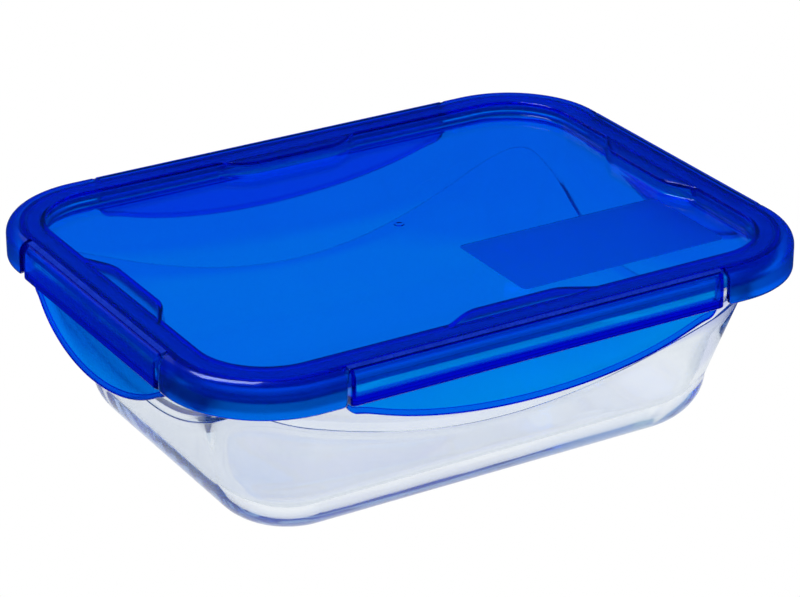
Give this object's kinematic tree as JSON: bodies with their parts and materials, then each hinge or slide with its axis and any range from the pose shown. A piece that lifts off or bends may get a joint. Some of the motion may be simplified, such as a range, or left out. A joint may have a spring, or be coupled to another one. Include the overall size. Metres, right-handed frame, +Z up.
{
  "type": "glass storage container",
  "caption": "Rectangular glass food storage dish with a translucent blue plastic lid, a silicone seal and a hinged latch flap on each side.",
  "frame": {"origin": "centre of the dish's footprint on the surface it stands on", "axes": "+X along the long side, +Y from the front latch to the back latch, +Z up out of the dish"},
  "size_m": [0.24, 0.186, 0.076],
  "materials": {
    "clear_glass": "clear, polished",
    "lid_plastic": "translucent blue, glossy",
    "flap_plastic": "translucent blue, glossy",
    "hinge_plastic": "translucent blue, thin",
    "seal_silicone": "translucent silicone, satin"
  },
  "bodies": {
    "dish": {"glass_dish": "clear_glass"},
    "lid": {"lid": "lid_plastic", "silicone_seal": "seal_silicone", "front_hinge_web": "hinge_plastic", "back_hinge_web": "hinge_plastic", "left_hinge_web": "hinge_plastic", "right_hinge_web": "hinge_plastic"},
    "front_flap": {"front_flap": "flap_plastic"},
    "back_flap": {"back_flap": "flap_plastic"},
    "left_flap": {"left_flap": "flap_plastic"},
    "right_flap": {"right_flap": "flap_plastic"}
  },
  "joints": [
    {"name": "lid_lift", "type": "slide", "parent": "dish", "child": "lid", "axis": [0, 0, 1], "range_m": [0, 0.06]},
    {"name": "front_flap_hinge", "type": "hinge", "parent": "lid", "child": "front_flap", "pos_m": [0, -0.0896, 0.0755], "axis": [-1, 0, 0], "range_deg": [0, 135]},
    {"name": "back_flap_hinge", "type": "hinge", "parent": "lid", "child": "back_flap", "pos_m": [0, 0.0896, 0.0755], "axis": [1, 0, 0], "range_deg": [0, 135]},
    {"name": "left_flap_hinge", "type": "hinge", "parent": "lid", "child": "left_flap", "pos_m": [-0.1166, 0, 0.0755], "axis": [0, 1, 0], "range_deg": [0, 135]},
    {"name": "right_flap_hinge", "type": "hinge", "parent": "lid", "child": "right_flap", "pos_m": [0.1166, 0, 0.0755], "axis": [0, -1, 0], "range_deg": [0, 135]}
  ]
}
